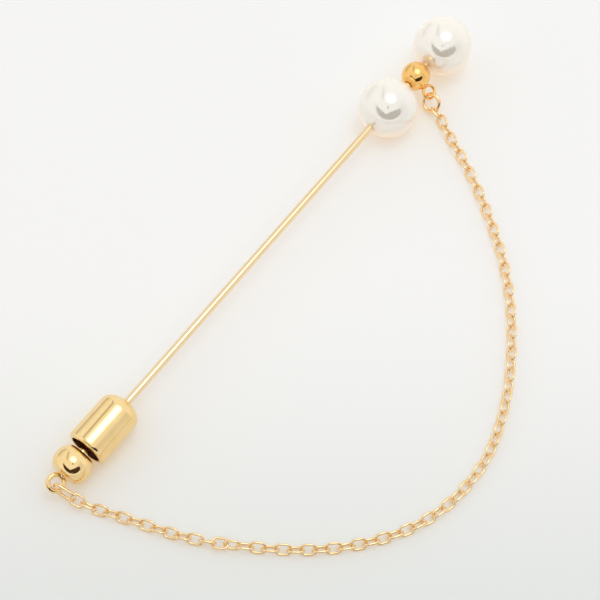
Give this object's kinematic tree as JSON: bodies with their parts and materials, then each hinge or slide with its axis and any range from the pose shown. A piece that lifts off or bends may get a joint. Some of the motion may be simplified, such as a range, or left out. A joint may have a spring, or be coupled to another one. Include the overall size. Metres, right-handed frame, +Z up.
{
  "type": "pin brooch with pearls, clutch and safety chain",
  "caption": "Straight gold pin with pearls and a gold bead at one end, a sprung slide-on clutch over the point, and a fine safety chain from the bead to the clutch.",
  "frame": {"origin": "middle of the outline, on the surface that the brooch lies on", "axes": "+X along the pin from the clutch to the pearls, +Z up from the surface, the chain lies towards -Y"},
  "size_m": [0.0848, 0.0433, 0.0083],
  "materials": {
    "pearl": "satin nacre",
    "pale_gold": "polished",
    "bead_gold": "polished",
    "chain_gold": "polished"
  },
  "bodies": {
    "brooch": {"pin_stem": "pale_gold", "lower_pearl": "pearl", "upper_pearl": "pearl", "spacer_bead": "bead_gold", "bead_jump_ring": "chain_gold", "chain": "chain_gold", "clutch_jump_link": "chain_gold", "clutch_shell": "pale_gold"},
    "knob": {"clutch_knob": "pale_gold"}
  },
  "joints": [
    {"name": "knob_pull", "type": "slide", "parent": "brooch", "child": "knob", "axis": [-0.9998, 0, -0.0213], "range_m": [0, 0.0006], "stiffness_N_per_m": 200, "springref_m": -0.0003}
  ]
}
